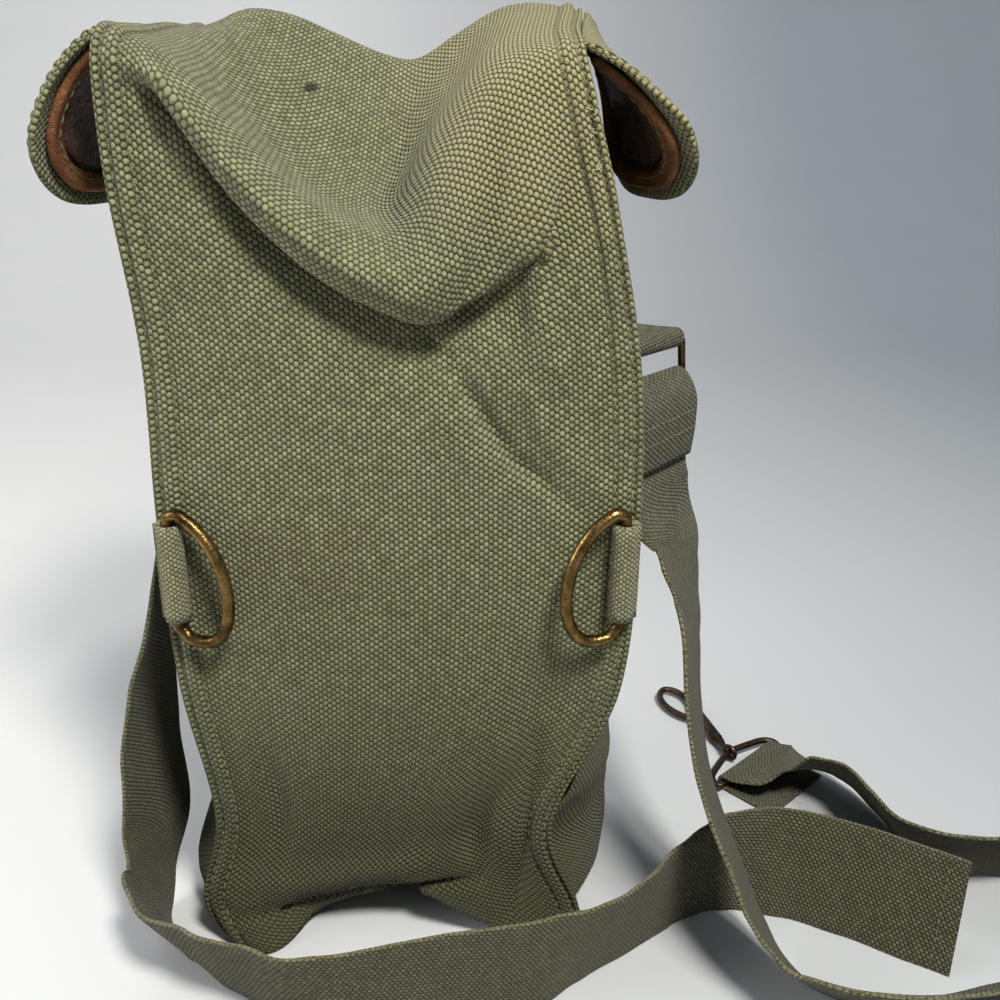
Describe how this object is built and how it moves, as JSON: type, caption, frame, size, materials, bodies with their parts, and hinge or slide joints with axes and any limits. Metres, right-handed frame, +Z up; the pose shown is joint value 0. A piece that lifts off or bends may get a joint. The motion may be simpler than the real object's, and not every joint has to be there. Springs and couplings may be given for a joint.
{
  "type": "gas mask bag",
  "caption": "Tall canvas shoulder bag for a gas mask, with a sagged lid, leather-faced ears, D-rings, a slider and long webbing straps.",
  "frame": {"origin": "middle of the flat bottom, on the surface that the bag stands on", "axes": "+Z up, -Y out of the back panel that faces the camera, +X to the side with the slider"},
  "size_m": [0.4289, 0.2651, 0.3752],
  "materials": {
    "canvas": "coarse olive canvas",
    "webbing": "woven olive webbing",
    "dark_leather": "dry dark brown leather",
    "tan_leather": "worn tan leather edge",
    "brass": "aged brass",
    "bronze": "dark aged bronze"
  },
  "bodies": {
    "bag": {"back_panel_lid": "canvas", "gusset": "canvas", "front_panel": "canvas", "ear_left_canvas": "canvas", "ear_left_leather": "dark_leather", "ear_left_band": "tan_leather", "ear_right_canvas": "canvas", "ear_right_leather": "dark_leather", "ear_right_band": "tan_leather", "ring_loop_left": "webbing", "ring_loop_right": "webbing", "slider": "brass", "slider_chape": "webbing", "strap_left": "webbing", "strap_right": "webbing", "hook_ring": "bronze", "hook": "bronze", "lid_stud": "brass"},
    "ring_left": {"ring_left": "brass"},
    "ring_right": {"ring_right": "brass"}
  },
  "joints": [
    {"name": "ring_left_swing", "type": "hinge", "parent": "bag", "child": "ring_left", "pos_m": [-0.08247, -0.05525, 0.17793], "axis": [-0.0126, -0.0012, -0.9999], "range_deg": [0, 145]},
    {"name": "ring_right_swing", "type": "hinge", "parent": "bag", "child": "ring_right", "pos_m": [0.08335, -0.05525, 0.17805], "axis": [0.009, 0.0012, 1], "range_deg": [0, 145]}
  ]
}
